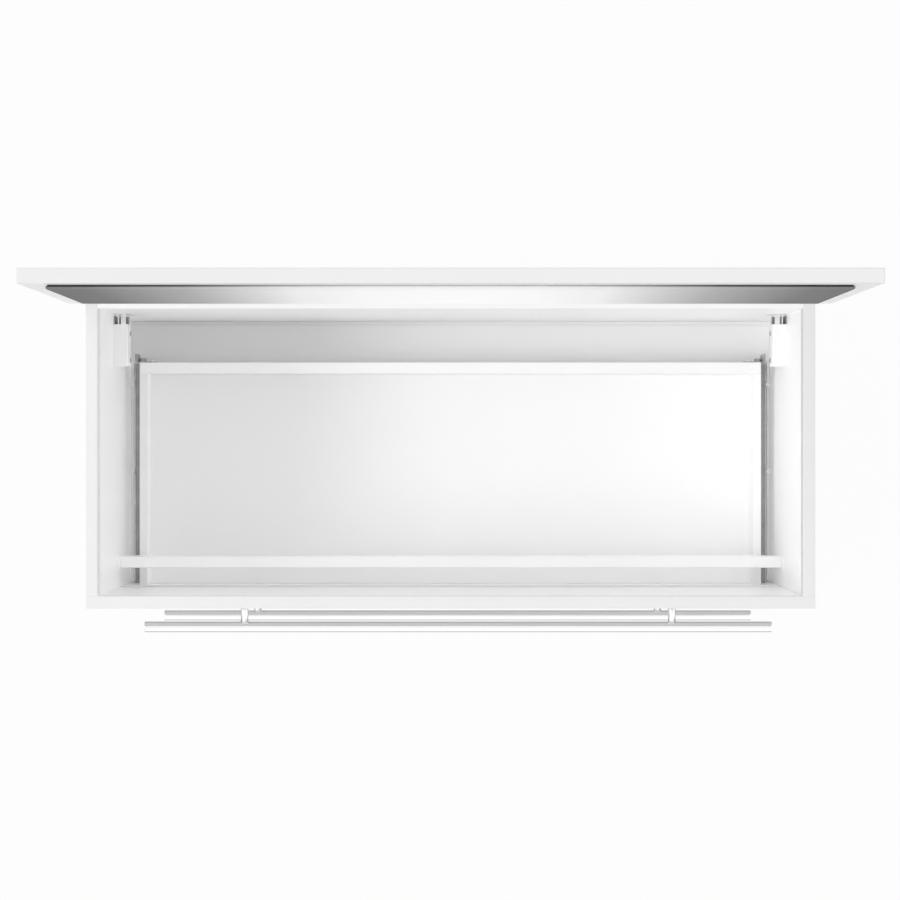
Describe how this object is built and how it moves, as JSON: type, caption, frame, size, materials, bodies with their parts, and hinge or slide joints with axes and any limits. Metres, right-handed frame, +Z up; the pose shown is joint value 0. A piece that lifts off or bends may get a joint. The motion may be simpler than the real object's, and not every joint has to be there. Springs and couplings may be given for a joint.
{
  "type": "bathroom vanity cabinet with mirror",
  "caption": "Wall-hung white vanity cabinet with open top, a low drawer, two fronts with steel bar handles, and a mirror board standing on its rear edge.",
  "frame": {"origin": "middle of the cabinet's underside, half way between the face of the fronts and the wall plane", "axes": "+X to the right seen from the front, +Y to the wall, +Z up"},
  "size_m": [1.004, 0.456, 0.925],
  "materials": {
    "white_lacquer": "satin white lacquer over particle board",
    "white_steel": "white powder coat",
    "brushed_bar": "brushed stainless steel",
    "zinc": "bright zinc plating",
    "dark_zinc": "dark passivated zinc",
    "white_plastic": "moulded white",
    "beech": "plain turned beech",
    "damper": "translucent",
    "pad": "white foam tape",
    "mirror": "silvered glass with a ground edge"
  },
  "bodies": {
    "cabinet": {"side_panel_left": "white_lacquer", "side_panel_right": "white_lacquer", "bottom_panel": "white_lacquer", "back_rail": "white_lacquer", "back_panel": "white_lacquer", "front_stretcher": "white_lacquer", "upper_front": "white_lacquer", "mirror_board": "white_lacquer", "upper_bar": "brushed_bar", "upper_posts": "brushed_bar", "cam_discs": "zinc", "cam_bolts": "zinc", "upper_handle_screws": "zinc", "rail_screws": "zinc", "carrier_screws": "zinc", "hanger_plates": "zinc", "hanger_screws": "zinc", "runner_rail_left": "dark_zinc", "runner_rail_right": "dark_zinc", "suspension_carrier_left": "dark_zinc", "suspension_carrier_right": "dark_zinc", "suspension_rivets": "dark_zinc", "suspension_cover_left": "white_plastic", "suspension_cover_right": "white_plastic", "dowels": "beech", "drawer_dampers": "damper", "mirror_pads": "pad", "mirror_glass": "mirror"},
    "drawer": {"lower_front": "white_lacquer", "lower_bar": "brushed_bar", "lower_posts": "brushed_bar", "lower_handle_screws": "zinc", "drawer_side_left": "white_steel", "drawer_side_right": "white_steel", "drawer_floor": "white_lacquer", "drawer_back": "white_lacquer", "drawer_clips": "zinc", "clip_screws": "zinc", "front_brackets": "zinc", "front_bracket_screws": "zinc", "floor_screws": "zinc", "runner_drawer_left": "dark_zinc", "runner_drawer_right": "dark_zinc"},
    "runner_middle_left": {"runner_middle_left": "zinc"},
    "runner_middle_right": {"runner_middle_right": "zinc"},
    "hook_left": {"hook_left": "zinc"},
    "hook_right": {"hook_right": "zinc"},
    "depth_screw_left": {"depth_screw_left": "zinc"},
    "depth_screw_right": {"depth_screw_right": "zinc"}
  },
  "joints": [
    {"name": "drawer_slide", "type": "slide", "parent": "cabinet", "child": "drawer", "axis": [0, -1, 0], "range_m": [0, 0.26]},
    {"name": "middle_left_slide", "type": "slide", "parent": "cabinet", "child": "runner_middle_left", "axis": [0, -1, 0], "range_m": [0, 0.13]},
    {"name": "middle_right_slide", "type": "slide", "parent": "cabinet", "child": "runner_middle_right", "axis": [0, -1, 0], "range_m": [0, 0.13]},
    {"name": "hook_left_slide", "type": "slide", "parent": "cabinet", "child": "hook_left", "axis": [0, 1, 0], "range_m": [-0.004, 0.004]},
    {"name": "depth_screw_left_turn", "type": "hinge", "parent": "cabinet", "child": "depth_screw_left", "pos_m": [-0.452, 0.13, 0.221], "axis": [0, 1, 0], "range_deg": [-1440, 1440]},
    {"name": "hook_right_slide", "type": "slide", "parent": "cabinet", "child": "hook_right", "axis": [0, 1, 0], "range_m": [-0.004, 0.004]},
    {"name": "depth_screw_right_turn", "type": "hinge", "parent": "cabinet", "child": "depth_screw_right", "pos_m": [0.452, 0.13, 0.221], "axis": [0, 1, 0], "range_deg": [-1440, 1440]}
  ],
  "couplings": [
    {"joint": "middle_left_slide", "follows": "drawer_slide", "ratio": 0.5},
    {"joint": "middle_right_slide", "follows": "drawer_slide", "ratio": 0.5},
    {"joint": "depth_screw_left_turn", "follows": "hook_left_slide", "rad_per_m": -6283},
    {"joint": "depth_screw_right_turn", "follows": "hook_right_slide", "rad_per_m": -6283}
  ]
}
